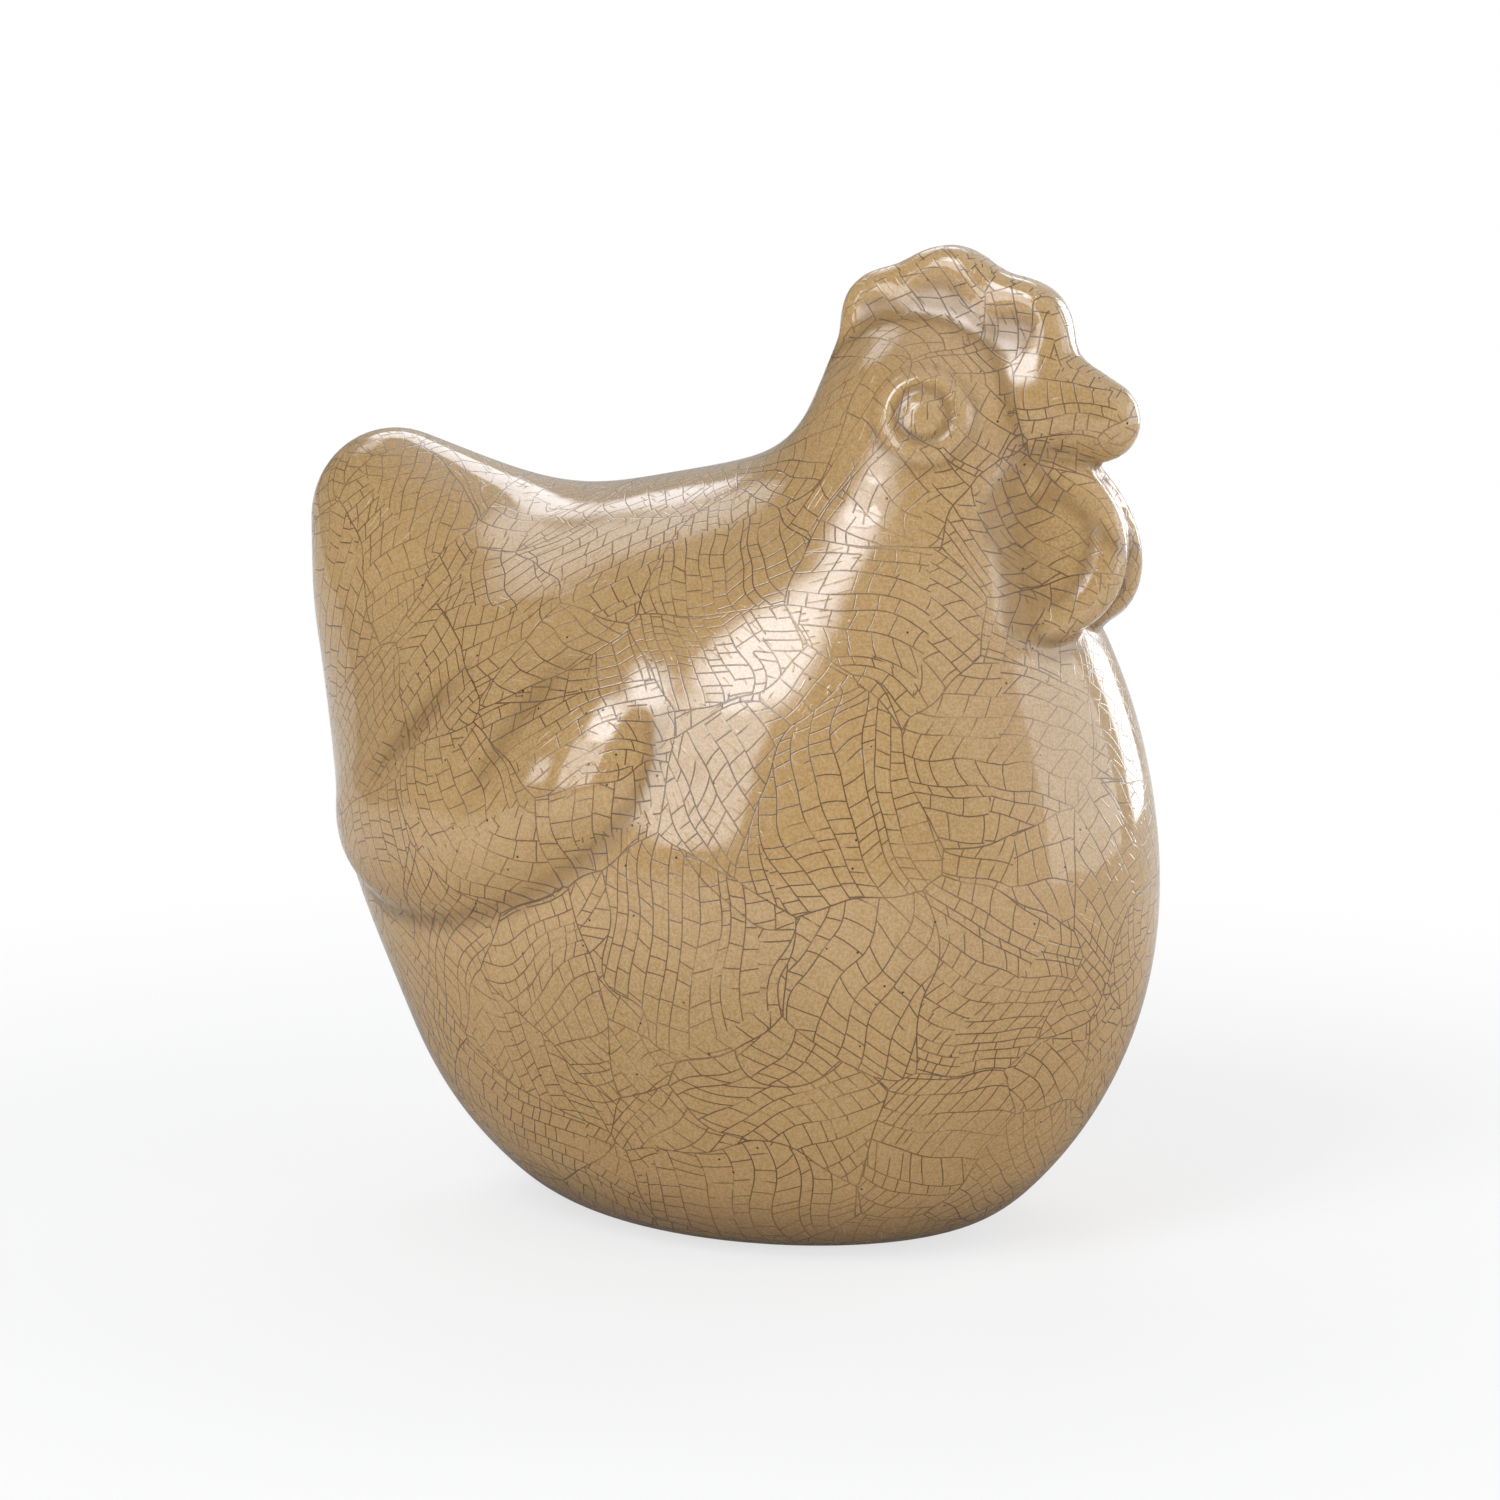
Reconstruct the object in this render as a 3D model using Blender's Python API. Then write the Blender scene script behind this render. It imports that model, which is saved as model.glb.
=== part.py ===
# Hen figurine: one hollow slip-cast ceramic body, standing on a flat foot.
# The hen looks along +X and is the same on both sides of the XZ plane. +Z is up. Metres.
#
# The outside is drawn as round forms that melt into each other: belly, neck, tail, comb, beak,
# wattle and two wings. Each form is a function that gives the distance from its surface, and
# soft_join melts two of them. Plain Blender solids stand where the forms are, a Remesh modifier
# makes them one skin, and the skin is then drawn onto the forms' common surface.

import math

import bmesh
import bpy
import numpy as np
from mathutils import Matrix, Vector

# Belly: an egg, cut off flat at the foot
belly_length = 0.1246
belly_width = 0.0990
belly_height = 0.1326
foot_cut = 0.0104
foot_rounding = 0.008

# How far the large forms melt into each other
body_melt = 0.029

# Neck and head: a cone with round ends, from the chest up to the head, seen from the belly's centre
chest_ahead = 0.0212
chest_above = 0.0311
chest_radius = 0.0260
head_ahead = 0.0255
head_above = 0.0731
head_radius = 0.0182

# Tail: two cones side by side, from the rump out to the tail's tip and down its back
rump_behind = 0.0372
rump_above = 0.0176
rump_radius = 0.0388
tail_behind = 0.0708
tail_above = 0.0557
tail_radius = 0.0137
keel_behind = 0.0327
keel_below = 0.0209
keel_radius = 0.0253
back_behind = 0.0652
back_above = 0.0394
back_radius = 0.0085
tail_narrowness = 0.90

# Comb: a thick plate whose scalloped edge runs round four lobes, each at an angle from the
# head's centre (from +X upwards, in degrees) and a distance above the head
comb_thickness = 0.0088
comb_rounding = 0.0033
comb_hollow = 0.0005
comb_melt = 0.0127
comb_lobes = (
    (136.0, -0.0046, 0.0050),
    (113.6, 0.0027, 0.0059),
    (82.0, 0.0039, 0.0078),
    (47.4, 0.0050, 0.0074),
)

# Beak: a short cone out of the front of the head
beak_length = 0.0283
beak_rise = 0.0034
beak_tip_radius = 0.0065
beak_root_reach = 0.0189
beak_root_rise = 0.0054
beak_root_radius = 0.0094
beak_narrowness = 0.79

# Wattle: two thick drops side by side under the beak, cast as one, with hollow cheeks and a soft
# parting between them. It grows wider towards the neck and spreads towards its lower end.
wattle_ahead = 0.0233
wattle_below = 0.0162
wattle_length = 0.0231
wattle_height = 0.0274
wattle_tilt = -0.6
wattle_thickness = 0.0228
wattle_widening = 0.46
wattle_spread = 0.33
wattle_rounding = 0.0050
wattle_hollow = 0.0014
wattle_groove = 0.0006
wattle_parting = 0.0016

# Eyes: a low round pupil inside a wide, soft ring
eye_turn = 71.5
eye_lift = 15.7
eye_ring_radius = 0.0057
eye_ring_width = 0.0017
eye_ring_rise = 0.0007
pupil_radius = 0.0030
pupil_rise = 0.0008

# Wings: a swollen leaf on each flank, crossed by two soft feather grooves. Its lower rim is
# crisp, and its upper rim leans in and fades into the back.
wing_behind = 0.0358
wing_above = 0.0191
wing_sink = 0.0075
wing_length = 0.0751
wing_depth = 0.0288
wing_height = 0.0475
wing_tilt = 15.7
wing_yaw = 20.2
wing_lean = 24.5
wing_melt = 0.003
wing_fade = 0.010
feather_groove = 0.0010
feather_width = 0.0034

# Casting: wall, and the vent that lets the kiln's air out through the foot
wall = 0.005
vent_diameter = 0.008

# Fineness of the outer skin and of the cavity, and how many of the skin's faces are kept
skin_grain = 0.0015
cavity_grain = 0.0078
kept_faces = 9000

# Places that follow from the sizes
belly_radii = np.array([belly_length, belly_width, belly_height]) / 2
belly_centre = np.array([0.0, 0.0, belly_radii[2] - foot_cut])
chest = belly_centre + (chest_ahead, 0, chest_above)
head = belly_centre + (head_ahead, 0, head_above)
rump = belly_centre + (-rump_behind, 0, rump_above)
tail_tip = belly_centre + (-tail_behind, 0, tail_above)
keel = belly_centre + (-keel_behind, 0, -keel_below)
back = belly_centre + (-back_behind, 0, back_above)
beak_root = head + (beak_root_reach, 0, beak_root_rise)
beak_tip = head + (beak_length, 0, beak_rise)
wattle = head + (wattle_ahead, 0, -wattle_below)


def carry(angle, first, second):
    """Turn by an angle in degrees that carries one axis towards another."""
    turn = math.radians(angle)
    axes = np.eye(3)
    axes[first, first] = axes[second, second] = math.cos(turn)
    axes[second, first] = math.sin(turn)
    axes[first, second] = -math.sin(turn)
    return axes


def lobe_centre(angle, rise):
    turn = math.radians(angle)
    reach = head_radius + rise
    return head + (reach * math.cos(turn), 0, reach * math.sin(turn))


def belly_side(x, z):
    """Half width of the belly at a place on its flank."""
    along = (x - belly_centre[0]) / belly_radii[0]
    up = (z - belly_centre[2]) / belly_radii[2]
    return belly_radii[1] * math.sqrt(max(0.0, 1 - along * along - up * up))


wing = belly_centre + (-wing_behind, 0, wing_above)
wing[1] = belly_side(wing[0], wing[2]) - wing_sink
wing_radii = np.array([wing_length, wing_depth, wing_height]) / 2
wing_axes = carry(wing_yaw, 0, 1) @ carry(wing_tilt, 0, 2) @ carry(wing_lean, 1, 2)


# Forms, each the distance of points from a surface, negative inside

def size_of(vectors):
    return np.sqrt((vectors * vectors).sum(-1))


def soft_join(first, second, melt):
    near = np.maximum(melt - np.abs(first - second), 0) / melt
    return np.minimum(first, second) - near ** 3 * melt / 6


def soft_cut(first, second, melt):
    return -soft_join(-first, -second, melt)


def egg(points, centre, radii):
    offset = points - centre
    near = size_of(offset / radii)
    slope = size_of(offset / (radii * radii)) + 1e-6
    return near * (near - 1) / slope


def cone(points, start, end, start_radius, end_radius, narrowness):
    """A cone with ball ends; its width across Y is narrowed."""
    offset = (points - start) * (1, 1 / narrowness, 1)
    axis = end - start
    span = axis @ axis
    drop = start_radius - end_radius
    slant = span - drop * drop
    along = offset @ axis
    past = along - span
    side = ((offset * span - along[:, None] * axis) ** 2).sum(-1)
    limit = np.sign(drop) * drop * drop * side
    at_end = np.sign(past) * slant * past * past * span > limit
    at_start = np.sign(along) * slant * along * along * span < limit
    end_ball = np.sqrt(side + past * past * span) / span - end_radius
    start_ball = np.sqrt(side + along * along * span) / span - start_radius
    flank = (np.sqrt(side * slant / span) + along * drop) / span - start_radius
    return np.where(at_end, end_ball, np.where(at_start, start_ball, flank)) * narrowness


def plate(outline, across, half, rounding):
    """A plate in the XZ plane, from the distance to its outline, with rounded rims."""
    out = outline + rounding
    over = np.abs(across) - half + rounding
    inside = np.minimum(np.maximum(out, over), 0)
    corner = np.hypot(np.maximum(out, 0), np.maximum(over, 0))
    return inside + corner - rounding


def hollowed(outline, depth, reach):
    """How far a plate's face sinks, from nothing at the outline to the full depth inside."""
    inside = np.clip(-outline / reach, 0, 1)
    return depth * inside * inside * (3 - 2 * inside)


def circle(points, centre, radius):
    return np.hypot(points[:, 0] - centre[0], points[:, 2] - centre[2]) - radius


def wattle_outline(points):
    turn = math.radians(wattle_tilt)
    ahead = points[:, 0] - wattle[0]
    up = points[:, 2] - wattle[2]
    first = (ahead * math.cos(turn) + up * math.sin(turn)) / (wattle_length / 2)
    second = (up * math.cos(turn) - ahead * math.sin(turn)) / (wattle_height / 2)
    near = np.hypot(first, second)
    slope = np.hypot(first / (wattle_length / 2), second / (wattle_height / 2)) + 1e-6
    return near * (near - 1) / slope


def comb_outline(points):
    joined = circle(points, head, head_radius - 0.002)
    lobes = None
    for angle, rise, radius in comb_lobes:
        lobe = circle(points, lobe_centre(angle, rise), radius)
        lobes = lobe if lobes is None else soft_join(lobes, lobe, comb_melt)
    return soft_join(lobes, joined, 0.006)


def trunk(points):
    """Belly, neck, head and tail."""
    belly = egg(points, belly_centre, belly_radii)
    neck = cone(points, chest, head, chest_radius, head_radius, 1.0)
    upper = cone(points, rump, tail_tip, rump_radius, tail_radius, tail_narrowness)
    lower = cone(points, keel, back, keel_radius, back_radius, tail_narrowness)
    rear = soft_join(upper, lower, body_melt)
    front = soft_join(belly, neck, body_melt)
    return soft_join(front, rear, body_melt)


def wing_point(along, up):
    """A place on the wing's face, along and up its leaf, as shares of its half sizes."""
    out = math.sqrt(max(0.0, 1 - along * along - up * up))
    return wing + wing_axes @ (wing_radii * (along, out, up))


def feather_grooves(points):
    grooves = np.zeros(len(points))
    for start, end in (((0.62, 0.42), (0.24, -0.40)), ((0.10, 0.48), (-0.38, -0.04))):
        first = wing_point(*start)
        axis = wing_point(*end) - first
        share = np.clip((points - first) @ axis / (axis @ axis), 0, 1)
        away = size_of(points - first - share[:, None] * axis)
        fade = np.sin(math.pi * (0.15 + 0.7 * share))
        grooves += feather_groove * fade * np.exp(-(away / feather_width) ** 2)
    return grooves


def eye_relief(points):
    turn = math.radians(eye_turn)
    lift = math.radians(eye_lift)
    facing = np.array([math.cos(turn) * math.cos(lift), math.sin(turn) * math.cos(lift), math.sin(lift)])
    away = size_of(points - head - facing * head_radius)
    ring = eye_ring_rise * np.exp(-((away - eye_ring_radius) / eye_ring_width) ** 2)
    dome = pupil_rise * np.exp(-(away / pupil_radius) ** 4)
    return ring + dome


def hen(points):
    """The finished outside of the hen."""
    mirrored = points * (1, 0, 1) + np.abs(points) * (0, 1, 0)
    across = mirrored[:, 1]
    leaf = (mirrored - wing) @ wing_axes
    wings = egg(leaf, np.zeros(3), wing_radii)
    cheek = wattle_outline(mirrored)
    body = trunk(mirrored) - eye_relief(mirrored)
    melt = wing_melt + wing_fade * np.clip(leaf[:, 2] / wing_radii[2], 0, 1)
    body = soft_join(body, wings, melt) + feather_grooves(mirrored)
    rim = comb_outline(mirrored)
    comb = plate(rim, across, comb_thickness / 2 - hollowed(rim, comb_hollow, 0.006), comb_rounding)
    beak = cone(mirrored, beak_root, beak_tip, beak_root_radius, beak_tip_radius, beak_narrowness)
    face = soft_join(comb, beak, 0.006)
    flare = wattle_widening * (wattle[0] - mirrored[:, 0]) + wattle_spread * (wattle[2] - mirrored[:, 2])
    half = wattle_thickness / 2 + flare - hollowed(cheek, wattle_hollow, 0.006)
    drop = plate(cheek, across, half, wattle_rounding)
    drop = drop + wattle_parting * np.exp(-(across / 0.0025) ** 2)
    body = body + wattle_groove * np.exp(-((drop - 0.0012) / 0.0016) ** 2)
    whole = soft_join(soft_join(body, face, 0.004), drop, 0.004)
    return soft_cut(whole, -mirrored[:, 2], foot_rounding)


def cavity(points):
    """The inside of the casting, one wall in from the belly, neck, tail and foot."""
    body = trunk(points)
    return soft_cut(body, -points[:, 2], foot_rounding) + wall


# Rough solids that stand where the forms are

def unit_ball():
    pattern = bmesh.new()
    bmesh.ops.create_icosphere(pattern, subdivisions=4, radius=1)
    points = np.array([vertex.co[:] for vertex in pattern.verts])
    pattern.free()
    return points


def unit_disc(corners):
    turns = np.arange(corners) * 2 * math.pi / corners
    edge = np.stack([np.cos(turns), np.zeros(corners), np.sin(turns)], -1)
    return np.concatenate([edge + (0, 1, 0), edge - (0, 1, 0)])


ball = unit_ball()
disc = unit_disc(24)


def wrap(mesh, points):
    """Pull a tight skin over some points."""
    verts = [mesh.verts.new(point) for point in points]
    made = bmesh.ops.convex_hull(mesh, input=verts, use_existing_faces=False)
    inner = [item for item in made["geom_interior"] if isinstance(item, bmesh.types.BMVert)]
    bmesh.ops.delete(mesh, geom=inner, context="VERTS")


def add_cone(mesh, start, end, start_radius, end_radius, narrowness):
    squash = np.array([1, narrowness, 1])
    wrap(mesh, np.concatenate([start + ball * start_radius * squash, end + ball * end_radius * squash]))


def add_trunk(mesh, inset):
    wrap(mesh, belly_centre + ball * (belly_radii - inset))
    add_cone(mesh, chest, head, chest_radius - inset, head_radius - inset, 1.0)
    add_cone(mesh, rump, tail_tip, rump_radius - inset, tail_radius - inset, tail_narrowness)
    add_cone(mesh, keel, back, keel_radius - inset, max(back_radius - inset, 0.003), tail_narrowness)


def add_trimmings(mesh):
    for angle, rise, radius in comb_lobes:
        size = (radius, comb_thickness / 2, radius)
        wrap(mesh, np.concatenate([lobe_centre(angle, rise) + disc * size, head + disc * size]))
    add_cone(mesh, beak_root, beak_tip, beak_root_radius, beak_tip_radius, beak_narrowness)
    wrap(mesh, wattle + ball * (wattle_length / 2, wattle_thickness / 2, wattle_height / 2))
    for side in (1, -1):
        wrap(mesh, (wing + ball * wing_radii @ wing_axes.T) * (1, side, 1))


def one_skin(name, fill, grain):
    """Remesh a heap of rough solids into one closed skin of even grain."""
    heap = bmesh.new()
    fill(heap)
    heap.normal_update()
    bmesh.ops.recalc_face_normals(heap, faces=heap.faces)
    data = bpy.data.meshes.new(name)
    heap.to_mesh(data)
    heap.free()
    skin = bpy.data.objects.new(name, data)
    bpy.context.scene.collection.objects.link(skin)
    remesh = skin.modifiers.new("one skin", "REMESH")
    remesh.mode = "VOXEL"
    remesh.voxel_size = grain
    return skin


def apply_modifiers(skin):
    bpy.context.view_layer.update()
    seen = skin.evaluated_get(bpy.context.evaluated_depsgraph_get())
    data = bpy.data.meshes.new_from_object(seen)
    skin.modifiers.clear()
    skin.data = data


def draw_onto(skin, surface, rounds):
    """Move every point of a skin onto a surface, and even the skin out along it."""
    data = skin.data
    count = len(data.vertices)
    flat = np.empty(count * 3)
    data.vertices.foreach_get("co", flat)
    points = flat.reshape(-1, 3)
    ends = np.empty(len(data.edges) * 2, dtype=np.int64)
    data.edges.foreach_get("vertices", ends)
    first, second = ends.reshape(-1, 2).T
    neighbours = np.bincount(ends, minlength=count)[:, None]
    step = 1e-5
    for turn in range(rounds):
        for repeat in range(2):
            slope = np.empty_like(points)
            for axis in range(3):
                nudge = np.zeros(3)
                nudge[axis] = step
                slope[:, axis] = (surface(points + nudge) - surface(points - nudge)) / (2 * step)
            steep = (slope * slope).sum(-1) + 1e-3
            move = np.clip(surface(points) / steep, -0.002, 0.002)
            points = points - slope * move[:, None]
        if turn < rounds - 1:
            total = np.zeros_like(points)
            np.add.at(total, first, points[second])
            np.add.at(total, second, points[first])
            pull = total / neighbours - points
            outward = slope / np.sqrt(steep)[:, None]
            pull -= outward * (pull * outward).sum(-1)[:, None]
            points = points + 0.5 * pull
    low = points[:, 2] < points[:, 2].min() + 1e-5
    points[low, 2] = points[low, 2].round(5)
    data.vertices.foreach_set("co", points.ravel())
    data.update()


for old in list(bpy.data.objects):
    bpy.data.objects.remove(old, do_unlink=True)


def outer_heap(mesh):
    add_trunk(mesh, 0.0)
    add_trimmings(mesh)


# The outside of the casting
body = one_skin("hen_body", outer_heap, skin_grain)
apply_modifiers(body)
draw_onto(body, hen, 8)
thin = body.modifiers.new("fewer faces", "DECIMATE")
thin.ratio = min(1.0, kept_faces / (2 * len(body.data.polygons)))
thin.use_collapse_triangulate = True
apply_modifiers(body)
for vertex in body.data.vertices:
    if abs(vertex.co.z) < 0.0002:
        vertex.co.z = 0.0

# The cavity, taken out of it
hollow = one_skin("cavity", lambda mesh: add_trunk(mesh, wall), cavity_grain)
apply_modifiers(hollow)
draw_onto(hollow, cavity, 6)

# The vent, through the middle of the foot into the cavity
vent = bpy.data.objects.new("vent", bpy.data.meshes.new("vent"))
bpy.context.scene.collection.objects.link(vent)
drill = bmesh.new()
vent_middle = Matrix.Translation(Vector((belly_centre[0], 0, wall / 2)))
bmesh.ops.create_cone(
    drill, cap_ends=True, segments=32, radius1=vent_diameter / 2, radius2=vent_diameter / 2,
    depth=3 * wall, matrix=vent_middle)
drill.to_mesh(vent.data)
drill.free()

for cutter in (hollow, vent):
    cutter.hide_render = True
    cutter.display_type = "WIRE"
    cut = body.modifiers.new("take out " + cutter.name, "BOOLEAN")
    cut.operation = "DIFFERENCE"
    cut.solver = "EXACT"
    cut.object = cutter

# The hen stands with the middle of its length over the origin
ahead = [vertex.co.x for vertex in body.data.vertices]
middle = (min(ahead) + max(ahead)) / 2
for piece in (body, hollow, vent):
    piece.data.transform(Matrix.Translation((-middle, 0, 0)))

# Glazed stoneware: a clear tan glaze with a high gloss
glaze = bpy.data.materials.new("crackled tan glaze")
glaze.use_nodes = True
shader = glaze.node_tree.nodes["Principled BSDF"]
shader.inputs["Base Color"].default_value = (0.46, 0.32, 0.16, 1)
shader.inputs["Roughness"].default_value = 0.12
shader.inputs["Metallic"].default_value = 0.0
glaze.diffuse_color = (0.46, 0.32, 0.16, 1)
body.data.materials.clear()
body.data.materials.append(glaze)
body.data.shade_smooth()
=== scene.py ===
import math

import bmesh
import bpy
import numpy as np
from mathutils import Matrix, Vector


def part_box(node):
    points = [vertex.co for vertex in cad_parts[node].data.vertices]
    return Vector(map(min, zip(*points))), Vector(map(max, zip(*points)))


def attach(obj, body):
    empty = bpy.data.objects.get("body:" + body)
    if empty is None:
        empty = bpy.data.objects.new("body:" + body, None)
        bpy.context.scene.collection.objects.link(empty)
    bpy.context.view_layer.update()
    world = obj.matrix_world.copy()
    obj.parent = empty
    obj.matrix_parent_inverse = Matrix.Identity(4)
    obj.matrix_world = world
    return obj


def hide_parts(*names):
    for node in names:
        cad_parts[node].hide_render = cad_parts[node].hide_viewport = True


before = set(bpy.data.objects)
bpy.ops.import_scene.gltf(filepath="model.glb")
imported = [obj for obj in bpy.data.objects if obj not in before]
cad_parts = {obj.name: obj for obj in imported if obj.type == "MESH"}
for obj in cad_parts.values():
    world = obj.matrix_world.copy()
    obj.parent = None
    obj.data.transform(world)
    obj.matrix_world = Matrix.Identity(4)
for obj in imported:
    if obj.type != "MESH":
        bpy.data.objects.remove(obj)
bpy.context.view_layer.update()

body_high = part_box("hen_body")[1]


# The trunk of the casting: an egg of a belly on a flat foot, with the neck, the head and the
# tail growing out of it. Slip-cast stoneware from a two-part mould whose seam is the XZ plane.
# Each form is the distance from its surface, in metres, and soft_join melts two of them.

belly_length = 0.1246
belly_width = 0.0990
belly_height = 0.1326
foot_cut = 0.0104
foot_rounding = 0.008
body_melt = 0.029
chest_ahead = 0.0212
chest_above = 0.0311
chest_radius = 0.0260
head_ahead = 0.0255
head_above = 0.0731
head_radius = 0.0182
rump_behind = 0.0372
rump_above = 0.0176
rump_radius = 0.0388
tail_behind = 0.0708
tail_above = 0.0557
tail_radius = 0.0137
keel_behind = 0.0327
keel_below = 0.0209
keel_radius = 0.0253
back_behind = 0.0652
back_above = 0.0394
back_radius = 0.0085
tail_narrowness = 0.90

belly_radii = np.array([belly_length, belly_width, belly_height]) / 2
belly_centre = np.array([0.0, 0.0, belly_radii[2] - foot_cut])
chest = belly_centre + (chest_ahead, 0, chest_above)
head = belly_centre + (head_ahead, 0, head_above)
rump = belly_centre + (-rump_behind, 0, rump_above)
tail_tip = belly_centre + (-tail_behind, 0, tail_above)
keel = belly_centre + (-keel_behind, 0, -keel_below)
back = belly_centre + (-back_behind, 0, back_above)


def size_of(vectors):
    return np.sqrt((vectors * vectors).sum(-1))


def mirrored_over(points):
    """The same points on the left side, because both sides of the mould are alike."""
    return points * (1, 0, 1) + np.abs(points) * (0, 1, 0)


def soft_join(first, second, melt):
    near = np.maximum(melt - np.abs(first - second), 0) / melt
    return np.minimum(first, second) - near ** 3 * melt / 6


def soft_cut(first, second, melt):
    return -soft_join(-first, -second, melt)


def egg(points, centre, radii):
    offset = points - centre
    near = size_of(offset / radii)
    slope = size_of(offset / (radii * radii)) + 1e-6
    return near * (near - 1) / slope


def cone(points, start, end, start_radius, end_radius, narrowness):
    """A cone with ball ends; its width across Y is narrowed."""
    offset = (points - start) * (1, 1 / narrowness, 1)
    axis = end - start
    span = axis @ axis
    drop = start_radius - end_radius
    slant = span - drop * drop
    along = offset @ axis
    past = along - span
    side = ((offset * span - along[:, None] * axis) ** 2).sum(-1)
    limit = np.sign(drop) * drop * drop * side
    at_end = np.sign(past) * slant * past * past * span > limit
    at_start = np.sign(along) * slant * along * along * span < limit
    end_ball = np.sqrt(side + past * past * span) / span - end_radius
    start_ball = np.sqrt(side + along * along * span) / span - start_radius
    flank = (np.sqrt(side * slant / span) + along * drop) / span - start_radius
    return np.where(at_end, end_ball, np.where(at_start, start_ball, flank)) * narrowness


def trunk(points):
    belly = egg(points, belly_centre, belly_radii)
    neck = cone(points, chest, head, chest_radius, head_radius, 1.0)
    upper = cone(points, rump, tail_tip, rump_radius, tail_radius, tail_narrowness)
    lower = cone(points, keel, back, keel_radius, back_radius, tail_narrowness)
    rear = soft_join(upper, lower, body_melt)
    front = soft_join(belly, neck, body_melt)
    return soft_join(front, rear, body_melt)


# The comb and the beak: a thick scalloped plate that stands along the crown and a short blunt
# cone in front of it, both cast solid with the head. The comb's cheeks are faintly hollow.

comb_thickness = 0.0088
comb_rounding = 0.0033
comb_hollow = 0.0005
comb_hollow_reach = 0.006
comb_melt = 0.0127
crown_sink = 0.002
crown_melt = 0.006
# Each lobe's angle above the beak, its centre's height over the crown and its radius
comb_lobes = (
    (136.0, -0.0046, 0.0050),
    (113.6, 0.0027, 0.0059),
    (82.0, 0.0039, 0.0078),
    (47.4, 0.0050, 0.0074),
)
beak_length = 0.0283
beak_rise = 0.0034
beak_tip_radius = 0.0065
beak_root_reach = 0.0189
beak_root_rise = 0.0054
beak_root_radius = 0.0094
beak_narrowness = 0.79
beak_melt = 0.006

beak_root = head + (beak_root_reach, 0, beak_root_rise)
beak_tip = head + (beak_length, 0, beak_rise)


def plate(outline, across, half, rounding):
    """A plate in the XZ plane, from the distance to its outline, with rounded rims."""
    out = outline + rounding
    over = np.abs(across) - half + rounding
    inside = np.minimum(np.maximum(out, over), 0)
    corner = np.hypot(np.maximum(out, 0), np.maximum(over, 0))
    return inside + corner - rounding


def hollowed(outline, depth, reach):
    """How far a plate's face sinks, from nothing at the outline to the full depth inside."""
    inside = np.clip(-outline / reach, 0, 1)
    return depth * inside * inside * (3 - 2 * inside)


def circle(points, centre, radius):
    return np.hypot(points[:, 0] - centre[0], points[:, 2] - centre[2]) - radius


def lobe_centre(angle, rise):
    turn = math.radians(angle)
    reach = head_radius + rise
    return head + (reach * math.cos(turn), 0, reach * math.sin(turn))


def comb_and_beak(points):
    lobes = None
    for angle, rise, radius in comb_lobes:
        lobe = circle(points, lobe_centre(angle, rise), radius)
        lobes = lobe if lobes is None else soft_join(lobes, lobe, comb_melt)
    rim = soft_join(lobes, circle(points, head, head_radius - crown_sink), crown_melt)
    half = comb_thickness / 2 - hollowed(rim, comb_hollow, comb_hollow_reach)
    comb = plate(rim, points[:, 1], half, comb_rounding)
    beak = cone(points, beak_root, beak_tip, beak_root_radius, beak_tip_radius, beak_narrowness)
    return soft_join(comb, beak, beak_melt)


# The wattle: two thick drops side by side under the beak, cast in one with the body. It widens
# towards the neck and its lower end, with hollow cheeks and a soft parting down its front.

wattle_ahead = 0.0233
wattle_below = 0.0162
wattle_length = 0.0231
wattle_height = 0.0274
wattle_tilt = -0.6
wattle_thickness = 0.0228
wattle_widening = 0.46
wattle_spread = 0.33
wattle_rounding = 0.0050
wattle_hollow = 0.0022
wattle_hollow_reach = 0.006
wattle_parting = 0.0016
wattle_parting_width = 0.0025
wattle_groove = 0.0006
wattle_groove_away = 0.0012
wattle_groove_width = 0.0016

wattle = head + (wattle_ahead, 0, -wattle_below)


def wattle_drop(points):
    turn = math.radians(wattle_tilt)
    ahead = points[:, 0] - wattle[0]
    up = points[:, 2] - wattle[2]
    first = (ahead * math.cos(turn) + up * math.sin(turn)) / (wattle_length / 2)
    second = (up * math.cos(turn) - ahead * math.sin(turn)) / (wattle_height / 2)
    near = np.hypot(first, second)
    slope = np.hypot(first / (wattle_length / 2), second / (wattle_height / 2)) + 1e-6
    cheek = near * (near - 1) / slope
    half = wattle_thickness / 2 - wattle_widening * ahead - wattle_spread * up
    half -= hollowed(cheek, wattle_hollow, wattle_hollow_reach)
    drop = plate(cheek, points[:, 1], half, wattle_rounding)
    return drop + wattle_parting * np.exp(-(points[:, 1] / wattle_parting_width) ** 2)


# The eyes: on each side of the head a low round pupil inside a wide, soft ring, both raised in
# the clay by the mould.

eye_turn = 71.5
eye_lift = 15.7
eye_ring_radius = 0.0060
eye_ring_width = 0.0015
eye_ring_rise = 0.0007
pupil_radius = 0.0030
pupil_rise = 0.0006

turn, lift = math.radians(eye_turn), math.radians(eye_lift)
ahead, aside = math.cos(turn) * math.cos(lift), math.sin(turn) * math.cos(lift)
eye_facing = np.array([ahead, aside, math.sin(lift)])
eye = head + eye_facing * head_radius


def eye_relief(points):
    away = size_of(points - eye)
    ring = eye_ring_rise * np.exp(-((away - eye_ring_radius) / eye_ring_width) ** 2)
    dome = pupil_rise * np.exp(-(away / pupil_radius) ** 4)
    return ring + dome


# The wings: a swollen leaf on each flank, crisp along its lower rim and fading into the back
# above, with two soft feather grooves drawn across it towards the tail.

wing_behind = 0.0358
wing_above = 0.0191
wing_sink = 0.0075
wing_length = 0.0751
wing_depth = 0.0288
wing_height = 0.0475
wing_tilt = 15.7
wing_yaw = 20.2
wing_lean = 24.5
wing_melt = 0.003
wing_fade = 0.010
feather_groove = 0.0007
feather_width = 0.0040
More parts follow.
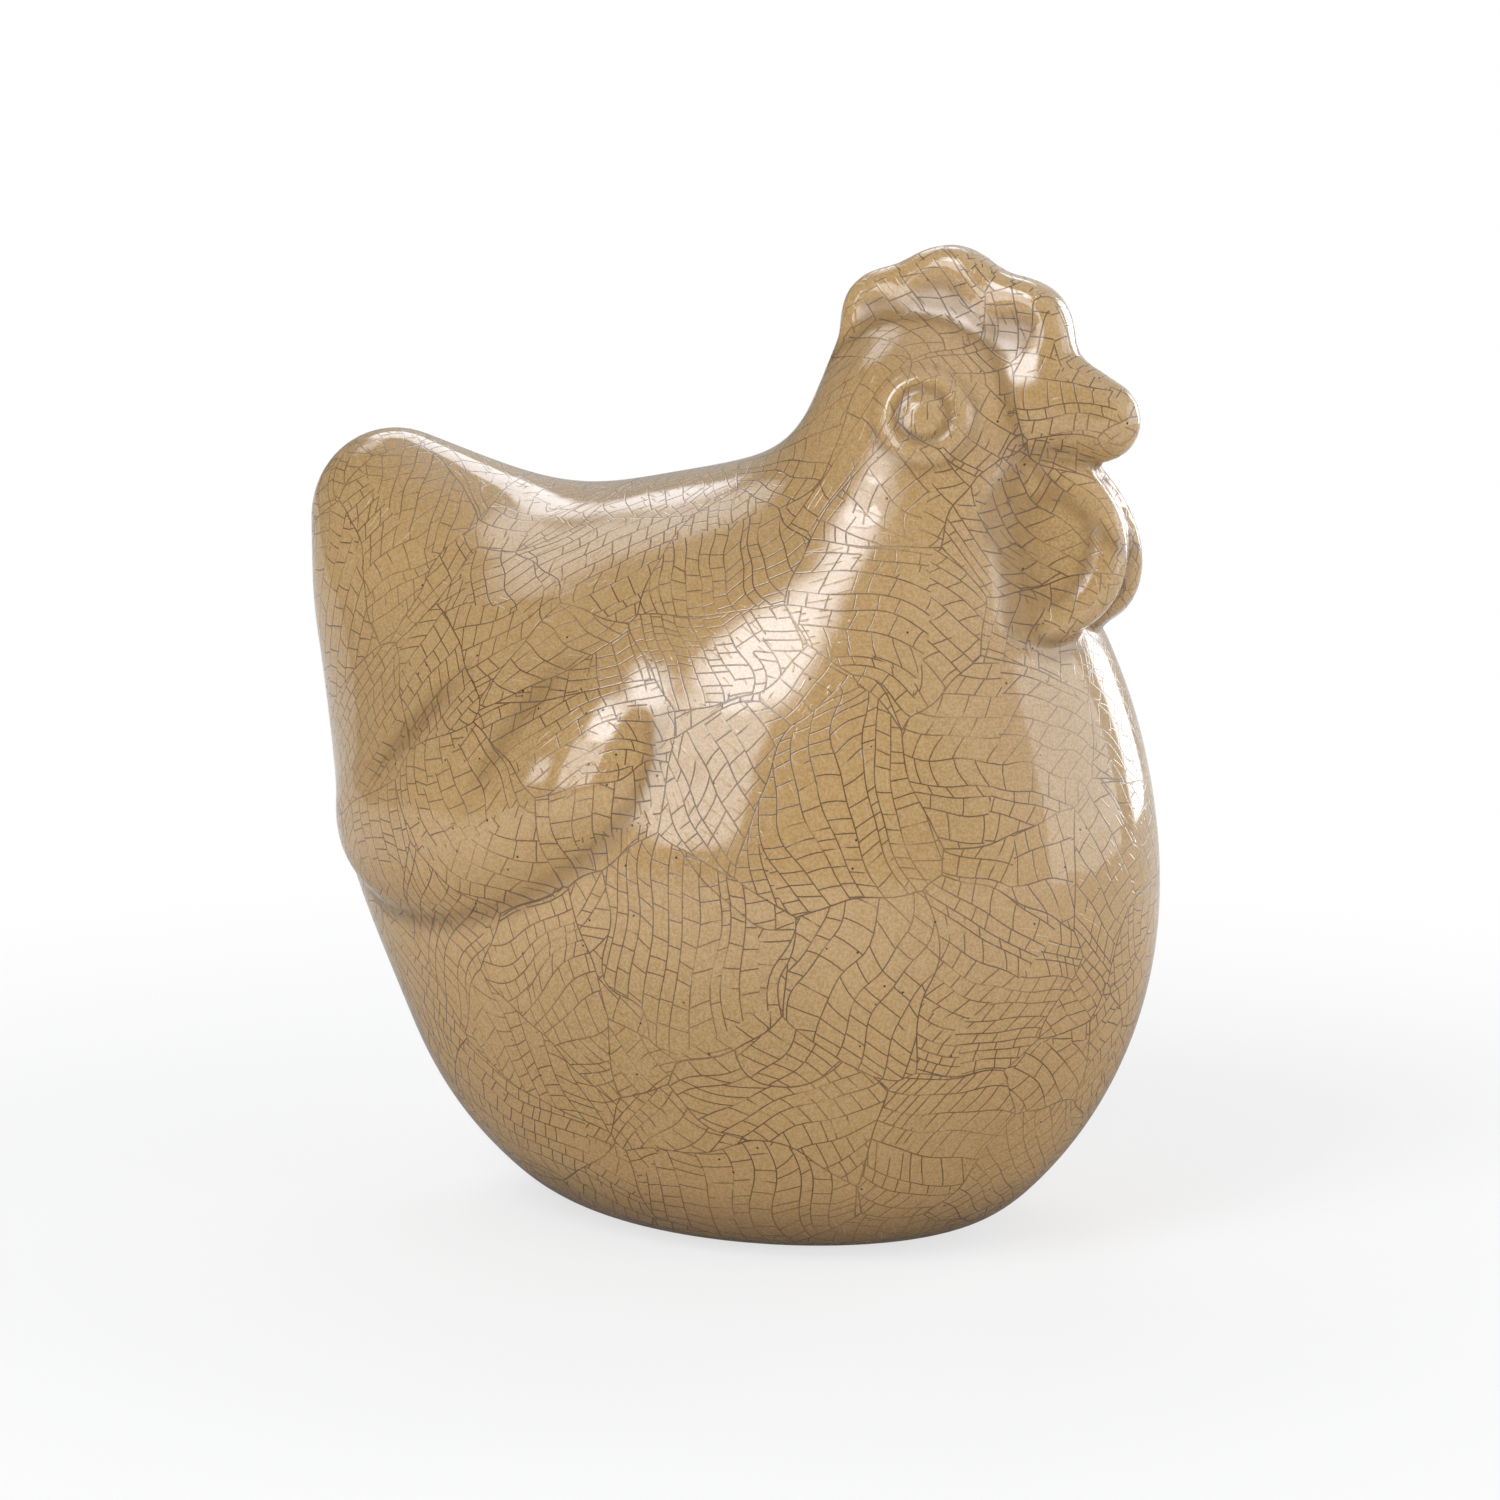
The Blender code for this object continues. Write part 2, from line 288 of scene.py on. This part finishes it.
# Where each groove starts and ends, along and up the wing's leaf
feather_lines = (((0.62, 0.42), (0.24, -0.40)), ((0.10, 0.48), (-0.38, -0.04)))


def carry(angle, first, second):
    """Turn by an angle in degrees that carries one axis towards another."""
    turn = math.radians(angle)
    axes = np.eye(3)
    axes[first, first] = axes[second, second] = math.cos(turn)
    axes[second, first] = math.sin(turn)
    axes[first, second] = -math.sin(turn)
    return axes


wing = belly_centre + (-wing_behind, 0, wing_above)
wing_share = wing_behind ** 2 / belly_radii[0] ** 2 + wing_above ** 2 / belly_radii[2] ** 2
wing[1] = belly_radii[1] * math.sqrt(1 - wing_share) - wing_sink
wing_radii = np.array([wing_length, wing_depth, wing_height]) / 2
wing_axes = carry(wing_yaw, 0, 1) @ carry(wing_tilt, 0, 2) @ carry(wing_lean, 1, 2)


def wing_point(along, up):
    """A place on the wing's face, along and up its leaf, as shares of its half sizes."""
    out = math.sqrt(max(0.0, 1 - along * along - up * up))
    return wing + wing_axes @ (wing_radii * (along, out, up))


def feather_grooves(points):
    grooves = np.zeros(len(points))
    for start, end in feather_lines:
        first = wing_point(*start)
        axis = wing_point(*end) - first
        share = np.clip((points - first) @ axis / (axis @ axis), 0, 1)
        away = size_of(points - first - share[:, None] * axis)
        fade = np.sin(math.pi * (0.15 + 0.7 * share))
        grooves += feather_groove * fade * np.exp(-(away / feather_width) ** 2)
    return grooves


# The whole casting: one hollow piece of fired stoneware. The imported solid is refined, and its
# outside is drawn onto the forms above, so that the gloss runs over it without facets.

face_melt = 0.008
wattle_melt = 0.005
vent_radius = 0.004
vent_margin = 0.0002
vent_depth = 0.010
skin_grain = 0.0013
eye_grain = 0.0006
eye_reach = 0.009
weld_reach = 1e-6
split_reach = 0.0012
split_rounds = 5
longest_edge = 1.4  # in grains
draw_reach = 0.0014
draw_rounds = 6
longest_draw = 0.001
evening = 0.5


def hen(points):
    mirrored = mirrored_over(points)
    leaf = (mirrored - wing) @ wing_axes
    drop = wattle_drop(mirrored)
    melt = wing_melt + wing_fade * np.clip(leaf[:, 2] / wing_radii[2], 0, 1)
    body = trunk(mirrored) - eye_relief(mirrored)
    body = soft_join(body, egg(leaf, np.zeros(3), wing_radii), melt) + feather_grooves(mirrored)
    body = body + wattle_groove * np.exp(-((drop - wattle_groove_away) / wattle_groove_width) ** 2)
    whole = soft_join(soft_join(body, comb_and_beak(mirrored), face_melt), drop, wattle_melt)
    return soft_cut(whole, -mirrored[:, 2], foot_rounding)


def slope_of(points, step=1e-5):
    slope = np.empty_like(points)
    for axis in range(3):
        nudge = np.zeros(3)
        nudge[axis] = step
        slope[:, axis] = (hen(points + nudge) - hen(points - nudge)) / (2 * step)
    return slope


# The frame's origin is under the middle of the hen's length, and the forms' is under the belly,
# whose front is the foremost place of the hen
to_forms = np.array([belly_radii[0] - body_high[0], 0, 0])


def points_of(mesh):
    return np.array([vertex.co[:] for vertex in mesh.verts]) + to_forms


def on_outside(points, reach):
    """Which points lie within a reach of the outside, and not on the vent's wall."""
    from_vent = np.hypot(points[:, 0] - belly_centre[0], points[:, 1])
    past_vent = (from_vent > vent_radius + vent_margin) | (points[:, 2] > vent_depth)
    return (np.abs(hen(points)) < reach) & past_vent


casting = bmesh.new()
casting.from_mesh(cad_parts["hen_body"].data)
bmesh.ops.remove_doubles(casting, verts=casting.verts, dist=weld_reach)

for split in range(split_rounds):
    casting.verts.index_update()
    points = points_of(casting)
    outside = on_outside(points, split_reach)
    near_eye = size_of(mirrored_over(points) - eye) < eye_reach
    grain = np.where(near_eye, eye_grain, skin_grain)
    long_edges = []
    for edge in casting.edges:
        one, other = edge.verts[0].index, edge.verts[1].index
        if outside[one] and outside[other] and edge.calc_length() > longest_edge * grain[one]:
            long_edges.append(edge)
    bmesh.ops.subdivide_edges(casting, edges=long_edges, cuts=1)
    bmesh.ops.triangulate(casting, faces=casting.faces, quad_method="SHORT_EDGE")

shape = bpy.data.meshes.new("hen_glazed")
casting.to_mesh(shape)
casting.free()

count = len(shape.vertices)
flat = np.empty(count * 3)
shape.vertices.foreach_get("co", flat)
points = flat.reshape(-1, 3) + to_forms
ends = np.empty(len(shape.edges) * 2, dtype=np.int64)
shape.edges.foreach_get("vertices", ends)
first, second = ends.reshape(-1, 2).T
neighbours = np.bincount(ends, minlength=count)[:, None]
on_skin = on_outside(points, draw_reach)[:, None]


def spread(values):
    """The mean of each point's neighbours."""
    total = np.zeros_like(values)
    np.add.at(total, first, values[second])
    np.add.at(total, second, values[first])
    return total / neighbours


# Each round draws the skin onto the forms, and all but the last then even out its triangles
for draw in range(draw_rounds):
    slope = slope_of(points)
    steep = (slope * slope).sum(-1)[:, None] + 1e-3
    move = np.clip(hen(points)[:, None] / steep, -longest_draw, longest_draw)
    points = points - on_skin * slope * move
    if draw < draw_rounds - 1:
        pull = spread(points) - points
        outward = slope / np.sqrt(steep)
        pull -= outward * (pull * outward).sum(-1)[:, None]
        points = points + evening * on_skin * pull


# The glaze pools in grooves and creases, thins over rims and stops short of the foot
crease_width = 0.0013
fine_reach = 0.0010
broad_reach = 0.0025
groove_curve = 0.12
hollow_curve = 0.30
rim_curve = 0.12
rim_curve_step = 0.20
bare_edge = 0.0004
bare_fade = 0.0010


def curving(reach, rounds):
    """How the skin curves over a reach: above 0 on rims, below 0 in grooves."""
    curve = -6 * hen(points)
    for axis in range(3):
        nudge = np.zeros(3)
        nudge[axis] = reach
        curve = curve + hen(points + nudge) + hen(points - nudge)
    curve = (curve / reach)[:, None]
    for smoothing in range(rounds):
        curve = 0.5 * curve + 0.5 * spread(curve)
    return curve[:, 0]


def creases(points):
    """Where the comb, the beak and the wattle meet the head: 1 in the crease, 0 away from it."""
    mirrored = mirrored_over(points)
    body, face, drop = trunk(mirrored), comb_and_beak(mirrored), wattle_drop(mirrored)
    round_face = np.exp(-((body - face) / crease_width) ** 2)
    round_drop = np.exp(-((np.minimum(body, face) - drop) / crease_width) ** 2)
    return np.maximum(round_face, round_drop)


fine_curve = curving(fine_reach, 1)
broad_curve = curving(broad_reach, 2)
fine_pool = np.clip(-fine_curve / groove_curve, 0, 1) * 0.6
broad_pool = np.clip(-broad_curve / hollow_curve, 0, 1) * 0.25
pooled = np.maximum(fine_pool + broad_pool, creases(points))
thinned = np.clip((fine_curve - rim_curve) / rim_curve_step, 0, 1)
glazed = on_skin[:, 0] * np.clip((points[:, 2] - bare_edge) / bare_fade, 0, 1)

# Two places on the side in the photo where the gloss is scuffed: where, and how far it reaches
scuffs = (((0.0262, -0.0220, 0.1200), 0.0070), ((0.0057, -0.0454, 0.0818), 0.0042))
scuffed = np.zeros(len(points))
for where, reach in scuffs:
    scuffed += np.exp(-(size_of(points - where) / reach) ** 2)


# The ground of the crackle: each place of the skin bent by slow waves, so that straight rows of
# cracks drawn on the bent places come out curved, and how the bent place changes along each axis
waves = ((0.062, 0.14), (0.034, 0.18), (0.019, 0.17), (0.0085, 0.14))  # length, steepness
waves_each = 6
waves_seed = 11


def bend(points):
    chance = np.random.default_rng(waves_seed)
    bent = points.copy()
    change = np.tile(np.eye(3), (len(points), 1, 1))
    for length, steepness in waves:
        pace = 2 * math.pi / length
        for wave in range(waves_each):
            ways = chance.normal(size=(2, 3))
            way, push = ways / size_of(ways)[:, None]
            phase = points @ way * pace + chance.uniform(0, 2 * math.pi)
            bent += steepness / pace * np.sin(phase)[:, None] * push
            change += steepness * np.cos(phase)[:, None, None] * np.outer(push, way)
    return bent, change


bent, change = bend(points)

shape.vertices.foreach_set("co", (points - to_forms).ravel())
shape.update()
shares = {"pooled": pooled, "thinned": thinned, "glazed": glazed, "scuffed": scuffed}
for name, values in shares.items():
    layer = shape.attributes.new(name, "FLOAT", "POINT")
    layer.data.foreach_set("value", values.astype(np.float32))
vectors = {"bent": bent}
for axis, name in enumerate(("bent_x", "bent_y", "bent_z")):
    vectors[name] = change[:, :, axis]
for name, values in vectors.items():
    layer = shape.attributes.new(name, "FLOAT_VECTOR", "POINT")
    layer.data.foreach_set("vector", values.astype(np.float32).ravel())
shape.shade_smooth()

hen_glazed = bpy.data.objects.new("hen_glazed", shape)
bpy.context.scene.collection.objects.link(hen_glazed)


# The glaze: a thick clear tan glaze over pale clay, fired to a high gloss and crackled all over.
# Long first cracks part it into islands, short second cracks cut each island into tiles, and a
# brown stain has been rubbed into both. The foot and the inside are bare clay.

glaze_tan = (0.415, 0.245, 0.090, 1)
glaze_cream_and_highlight = (0.630, 0.455, 0.240, 1)
glaze_olive = (0.230, 0.130, 0.040, 1)
stain_and_shade_brown = (0.092, 0.045, 0.016, 1)
pit_brown = (0.030, 0.018, 0.008, 1)
bare_clay = (0.620, 0.500, 0.380, 1)
clay_shade = (0.500, 0.380, 0.270, 1)
island_size = 0.022
facing_step = 0.8
row_height = 0.0029
row_change = 0.0009
tile_length = 0.0029
tile_change = 0.0012
sliver_length = 0.0019
first_crack = 0.00011
second_crack = 0.00010
sliver_rise = 0.000030
crack_sink = 0.000018
pinhole_spacing = 0.0040
pinhole_sink = 0.00006
mottle_size = 0.042
freckle_size = 0.0011
grain_size = 0.00038
# Painted shade above the foot: the height where it starts and the height where it is full
foot_shade_top = 0.0150
foot_shade_bottom = 0.0010
gloss_roughness = 0.06
clay_roughness = 0.85
glaze_ior = 1.72


class Flow:
    """One shader value. Operators on it add the Math nodes that work them out."""

    def __init__(self, tree, socket):
        self.tree = tree
        self.socket = socket

    def node(self, kind, settings, sockets, output=0):
        """Add any node: its type, its settings, then its sockets' values or links."""
        made = self.tree.nodes.new(kind)
        for name, value in settings.items():
            setattr(made, name, value)
        for name, value in sockets.items():
            if isinstance(value, Flow):
                self.tree.links.new(value.socket, made.inputs[name])
            else:
                made.inputs[name].default_value = value
        return Flow(self.tree, made.outputs[output] if made.outputs else None)

    def other(self, output):
        """Another output of the node that this value comes from."""
        return Flow(self.tree, self.socket.node.outputs[output])

    def math(self, operation, first, second=0.0, third=0.0):
        return self.node("ShaderNodeMath", {"operation": operation}, {0: first, 1: second, 2: third})

    def __add__(self, other):
        return self.math("ADD", self, other)

    def __sub__(self, other):
        return self.math("SUBTRACT", self, other)

    def __mul__(self, other):
        return self.math("MULTIPLY", self, other)

    def __truediv__(self, other):
        return self.math("DIVIDE", self, other)

    def __rsub__(self, other):
        return self.math("SUBTRACT", other, self)

    __radd__ = __add__
    __rmul__ = __mul__

    def clamped(self):
        return self.node("ShaderNodeClamp", {}, {0: self})

    def ramp(self, low, high, start=0.0, end=1.0):
        """A smooth step from start to end while this value goes from low to high."""
        sockets = {"Value": self, "From Min": low, "From Max": high, "To Min": start, "To Max": end}
        return self.node("ShaderNodeMapRange", {"interpolation_type": "SMOOTHSTEP"}, sockets)

    def vector(self, operation, other=(0, 0, 0), scale=1.0):
        """Vector Math with this vector first."""
        output = 1 if operation in ("DOT_PRODUCT", "LENGTH") else 0
        sockets = {0: self, 3: scale} if operation == "SCALE" else {0: self, 1: other}
        return self.node("ShaderNodeVectorMath", {"operation": operation}, sockets, output)

    def mixed(self, first, second, share):
        """The first colour, with a share of the second laid over it."""
        settings = {"data_type": "RGBA", "clamp_factor": True}
        return self.node("ShaderNodeMix", settings, {0: share, 6: first, 7: second}, 2)

    def tint(self, other, share):
        return self.mixed(self, other, share)


glaze = bpy.data.materials.new("crackled_tan_glaze")
glaze.use_nodes = True
tree = glaze.node_tree
tree.nodes.clear()
start = Flow(tree, None)
place = start.node("ShaderNodeTexCoord", {}, {}, 3)
outward = start.node("ShaderNodeTexCoord", {}, {}, 1)


def painted(name, output=2):
    """A value that the casting's mesh carries."""
    return start.node("ShaderNodeAttribute", {"attribute_name": name}, {}, output)


pool = painted("pooled")
thin = painted("thinned")
has_glaze = painted("glazed")
scuffed_here = painted("scuffed")
bent = painted("bent", 1)
bent_ways = [painted("bent_x", 1), painted("bent_y", 1), painted("bent_z", 1)]


def cloud(size, detail=2.0, shift=0.0):
    """Smooth noise over the piece, with blotches of about the given size."""
    where = place.vector("ADD", (shift, shift, shift))
    sockets = {"Vector": where, "Scale": 1 / size, "Detail": detail}
    return start.node("ShaderNodeTexNoise", {}, sockets)


def pace(way):
    """How fast the bent place moves along a way, for a step over the skin."""
    parts = {}
    for axis, change in enumerate(bent_ways):
        parts[axis] = change.vector("DOT_PRODUCT", way)
    change = start.node("ShaderNodeCombineXYZ", {}, parts)
    lift = change.vector("DOT_PRODUCT", outward)
    return start.math("SQRT", change.vector("DOT_PRODUCT", change) - lift * lift + 0.01)


# First cracks: the walls between islands. Dividing by the pace keeps each crack at one width.
island = {"Vector": bent, "Scale": 1 / island_size}
island_centre = start.node("ShaderNodeTexVoronoi", {"feature": "F1"}, island, 2)
luck = island_centre.other(1).vector("SUBTRACT", (0.5, 0.5, 0.5))
next_centre = start.node("ShaderNodeTexVoronoi", {"feature": "F2"}, island, 2)
across = next_centre.vector("SUBTRACT", island_centre).vector("NORMALIZE")
midway = next_centre.vector("ADD", island_centre).vector("SCALE", scale=0.5)
from_midway = bent.vector("SUBTRACT", midway).vector("DOT_PRODUCT", across)
from_wall = start.math("ABSOLUTE", from_midway) / pace(across)

# Each island has its own grain in the skin's plane: rows of long second cracks, with short third
# cracks across each row, as in brickwork. The plane is one of a coarse set of facings, and the
# rows' height and the tiles' length differ from island to island.
turned = {"Vector": outward.vector("ADD", luck), "Scale": 1 / facing_step}
facing = start.node("ShaderNodeTexVoronoi", {"feature": "F1"}, turned, 2).vector("SUBTRACT", luck)
from_centre = bent.vector("SUBTRACT", island_centre)
grain_way = facing.vector("CROSS_PRODUCT", luck).vector("NORMALIZE")
grain_side = facing.vector("CROSS_PRODUCT", grain_way).vector("NORMALIZE")
along = from_centre.vector("DOT_PRODUCT", grain_way)
beside = from_centre.vector("DOT_PRODUCT", grain_side)


def parting(coordinate, spacing, jitter):
    """Distance to the nearest line of a row of uneven lines, and a chance value for each gap."""
    settings = {"voronoi_dimensions": "1D", "feature": "DISTANCE_TO_EDGE"}
    sockets = {"W": coordinate / spacing, "Scale": 1.0, "Randomness": jitter}
    edge = start.node("ShaderNodeTexVoronoi", settings, sockets) * spacing
    return edge, start.node("ShaderNodeTexVoronoi", {**settings, "feature": "F1"}, sockets, 1)


row_spacing = luck.vector("DOT_PRODUCT", (row_change, 0, 0)) + row_height
joint_spacing = luck.vector("DOT_PRODUCT", (0, tile_change, 0)) + tile_length
from_row, row_luck = parting(beside, row_spacing, 1.0)
row_chance = row_luck.vector("DOT_PRODUCT", (1.0, 0.7, 0.4))
skew = (row_chance - 1.0) * 0.7
from_joint, joint_luck = parting(along + beside * skew + row_chance * 0.5, joint_spacing, 1.0)
joint_chance = joint_luck.vector("DOT_PRODUCT", (0.3, 0.2, 0.1))
from_sliver = parting(beside - along * joint_chance + joint_chance, sliver_length, 0.9)[0]
joint_way = grain_way.vector("ADD", grain_side.vector("SCALE", scale=skew))
row_pace = pace(grain_side)
from_row = from_row / row_pace
from_sliver = from_sliver / row_pace
from_joint = from_joint / pace(joint_way)


def mark(distance, width, depth):
    """A crack's mark, soft at its edges and as strong as it is deep there."""
    return distance.ramp(width * 0.4, width * 1.6, 1.0, 0.0) * depth


first_depth = cloud(0.009, 0.0, 1.7).ramp(0.25, 0.45, 0.6, 1.0)
second_depth = cloud(0.008, 0.0, 2.9).ramp(0.25, 0.45, 0.40, 1.0)
third_depth = cloud(0.005, 0.0, 4.1).ramp(0.22, 0.36, 0.0, 1.0)
sliver_depth = cloud(0.0028, 0.0, 5.9).ramp(0.52, 0.60, 0.0, 1.0)
first_line = mark(from_wall, first_crack, first_depth)
second_line = mark(from_row, second_crack, second_depth)
third_line = mark(from_joint, second_crack, third_depth)
sliver_line = mark(from_sliver, second_crack, sliver_depth)
cracks = start.math("MAXIMUM", first_line, start.math("MAXIMUM", second_line, third_line))
stain = cloud(0.016, 2.0, 5.3).ramp(0.28, 0.60, 0.45, 1.0)
pinhole = {"Vector": place, "Scale": 1 / pinhole_spacing}
pits = start.node("ShaderNodeTexVoronoi", {"feature": "F1"}, pinhole).ramp(0.035, 0.060, 1.0, 0.0)

# Colour: thin and pale over rims, thick and olive in grooves, mottled between, with fine grain,
# and painted shade in brown that darkens the glaze towards the bare foot
mottle = cloud(mottle_size, 2.0, 7.7).ramp(0.38, 0.66)
grains = cloud(grain_size, 1.0, 0.9).ramp(0.35, 0.65)
freckles = cloud(freckle_size, 0.0, 6.7).ramp(0.40, 0.70)
colour = start.mixed(glaze_tan, glaze_olive, mottle * 0.24 + freckles * 0.12)
colour = colour.tint(glaze_cream_and_highlight, grains * 0.31)
colour = colour.tint(glaze_cream_and_highlight, thin * 0.15)
# Painted shade: the glaze is tinted brown from 15 mm above the foot down to it, as shade falls there
painted_foot_shade = place.vector("DOT_PRODUCT", (0, 0, 1)).ramp(foot_shade_top, foot_shade_bottom)
colour = colour.tint(glaze_olive, pool * 0.7)
colour = colour.tint(stain_and_shade_brown, painted_foot_shade * 0.62)
colour = colour.tint(stain_and_shade_brown, cracks * (stain + pool * 0.6).clamped() * 0.95)
# Painted highlight: the raised slivers are tinted paler with cream, as if lit, except where the glaze
# pools
colour = colour.tint(glaze_cream_and_highlight, sliver_line * (1 - pool) * 0.2)
colour = colour.tint(stain_and_shade_brown, sliver_line * pool * 0.8)
colour = colour.tint(pit_brown, pits)
clay_grain = cloud(0.0009, 3.0, 3.3).ramp(0.3, 0.7)
clay_colour = start.mixed(bare_clay, clay_shade, clay_grain * 0.5)
colour = clay_colour.tint(colour, has_glaze)

# Relief: each crack is a fine groove, the short slivers are raised, and the glaze is faintly uneven
relief = sliver_line * sliver_rise - cracks * crack_sink - pits * pinhole_sink
swell = cloud(0.016, 1.0, 6.1) * 0.00022 + cloud(0.0035, 0.0, 8.3) * 0.000025
height = relief * has_glaze + swell
soft = start.node("ShaderNodeBump", {}, {"Strength": 1.0, "Distance": 1.0, "Height": height})
scuff = scuffed_here * cloud(0.0045, 2.0, 9.1).ramp(0.42, 0.50)
dulled = (pool * 0.22 + cracks * 0.15) * has_glaze
roughness = has_glaze.ramp(0.0, 1.0, clay_roughness, gloss_roughness) + scuff * 0.30 + dulled

surface = {
    "Base Color": colour, "Roughness": roughness, "Normal": soft, "Metallic": 0.0, "IOR": glaze_ior,
}
shader = start.node("ShaderNodeBsdfPrincipled", {}, surface)
start.node("ShaderNodeOutputMaterial", {}, {"Surface": shader})

hen_glazed.data.materials.append(glaze)
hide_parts("hen_body")
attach(hen_glazed, "root")


# The floor: plain matt white paper, which takes the hen's shadow near it and is pure white
# further off. The gloss mirrors it dimmer near the foot, which shows no white of it in the photo.

floor_size = 40.0
floor_white = (0.85, 0.84, 0.82, 1)
shadow_reach = 0.30

sweep = bmesh.new()
bmesh.ops.create_grid(sweep, x_segments=1, y_segments=1, size=floor_size / 2)
floor_shape = bpy.data.meshes.new("floor")
sweep.to_mesh(floor_shape)
sweep.free()
floor = bpy.data.objects.new("floor", floor_shape)
bpy.context.scene.collection.objects.link(floor)
paper = bpy.data.materials.new("white_paper")
paper.use_nodes = True
paper.node_tree.nodes.clear()
sheet = Flow(paper.node_tree, None)
away = sheet.node("ShaderNodeTexCoord", {}, {}, 3).vector("LENGTH")
seen = sheet.node("ShaderNodeLightPath", {}, {})
matt = sheet.node("ShaderNodeBsdfPrincipled", {}, {"Base Color": floor_white, "Roughness": 0.9})
mirrored_ray = seen.other(3)
dimmed = mirrored_ray * away.ramp(shadow_reach * 0.15, shadow_reach, 0.92, 0.20)
white = sheet.node("ShaderNodeEmission", {}, {"Color": (1, 1, 1, 1), "Strength": 1 - dimmed})
share = away.ramp(shadow_reach * 0.3, shadow_reach, 0.7, 1.0) * seen + mirrored_ray * 0.75
blend = sheet.node("ShaderNodeMixShader", {}, {0: share, 1: matt, 2: white})
sheet.node("ShaderNodeOutputMaterial", {}, {"Surface": blend})
floor_shape.materials.append(paper)


# The light: a large softbox high on the left with two dimmer cards below it, a tall card and a
# narrow one on the right, panels over the back and the top, two fills that the gloss doesn't
# mirror, and a white room behind.

hen_middle = Vector((0.0, 0.0, 0.080))
daylight = (0.94, 0.98, 1.06, 1)


def softbox(name, azimuth, elevation, distance, width, height, brightness, rim):
    """A soft light at an angle round the hen, as bright as a mirror shows it, fading at its rims."""
    turn, lift = math.radians(azimuth), math.radians(elevation)
    facing = Vector((math.cos(turn) * math.cos(lift), math.sin(turn) * math.cos(lift), math.sin(lift)))
    lamp = bpy.data.lights.new(name, "AREA")
    lamp.shape = "RECTANGLE"
    lamp.size = width
    lamp.size_y = height
    lamp.energy = brightness * math.pi * width * height
    lamp.use_nodes = True
    lamp.node_tree.nodes.clear()
    panel = Flow(lamp.node_tree, None)
    corner = panel.node("ShaderNodeNewGeometry", {}, {}, 5)
    along = corner.node("ShaderNodeSeparateXYZ", {}, {0: corner})
    beside = along.other(1)
    glow = (along * (1 - along) * beside * (1 - beside) * 16).ramp(0.0, rim)
    emission = panel.node("ShaderNodeEmission", {}, {"Color": daylight, "Strength": glow})
    panel.node("ShaderNodeOutputLight", {}, {"Surface": emission})
    holder = bpy.data.objects.new(name, lamp)
    holder.location = hen_middle + facing * distance
    holder.rotation_euler = facing.to_track_quat("Z", "Y").to_euler()
    bpy.context.scene.collection.objects.link(holder)
    return holder


# Each panel's azimuth and elevation, its distance, width and height, its brightness and its rim
softbox("key", -100, 45, 1.0, 0.54, 0.50, 8.0, 0.8)
softbox("low_card", -105, 20, 1.0, 0.48, 0.60, 3.4, 0.3)
softbox("side_card", -129, 15, 1.0, 0.22, 0.26, 3.4, 0.9)
softbox("right_card", 24, 5, 1.0, 0.86, 1.00, 1.5, 0.12)
softbox("rim_card", 68, 8, 1.0, 0.40, 0.80, 5.0, 0.5)
softbox("back_card", 118, 43, 1.2, 0.90, 0.50, 3.2, 0.5)
softbox("top_card", 160, 50, 1.2, 0.60, 0.50, 1.8, 0.9)
for azimuth, elevation, width, brightness in ((-5, 8, 0.80, 6.0), (-106, 12, 0.70, 3.6)):
    fill = softbox("fill", azimuth, elevation, 1.2, width, 0.50, brightness, 0.5)
    fill.visible_glossy = False

room = bpy.data.worlds.new("white room")
bpy.context.scene.world = room
room.use_nodes = True
room.node_tree.nodes.clear()
air = Flow(room.node_tree, None)
seen = air.node("ShaderNodeLightPath", {}, {}, 0)
mirrored_ray = seen.other(3)
direction = air.node("ShaderNodeTexCoord", {}, {}, 0)
behind = direction.vector("DOT_PRODUCT", (0.55, 0.60, 0.58)).ramp(0.00, 0.75, 0.20, 1.0)
level = air.math("MAXIMUM", seen, mirrored_ray * behind)
level = air.math("MAXIMUM", level, (1 - mirrored_ray) * 0.23)
background = air.node("ShaderNodeBackground", {}, {"Color": (1, 1, 1, 1), "Strength": level})
air.node("ShaderNodeOutputWorld", {}, {"Surface": background})


# The camera: a long lens, a little above the hen and on its right front. Its angles and its
# distance were fitted to the hen's outline.

camera_azimuth = 24.76
camera_elevation = 10.0
camera_place = (0.3399, -0.7252, 0.2168)
focal_length = 120
sensor_width = 36

lens = bpy.data.cameras.new("camera")
lens.lens = focal_length
lens.sensor_width = sensor_width
camera = bpy.data.objects.new("camera", lens)
camera.location = camera_place
camera.rotation_euler = (math.radians(90 - camera_elevation), 0, math.radians(camera_azimuth))
bpy.context.scene.collection.objects.link(camera)
bpy.context.scene.camera = camera
bpy.context.scene.view_settings.view_transform = "Standard"
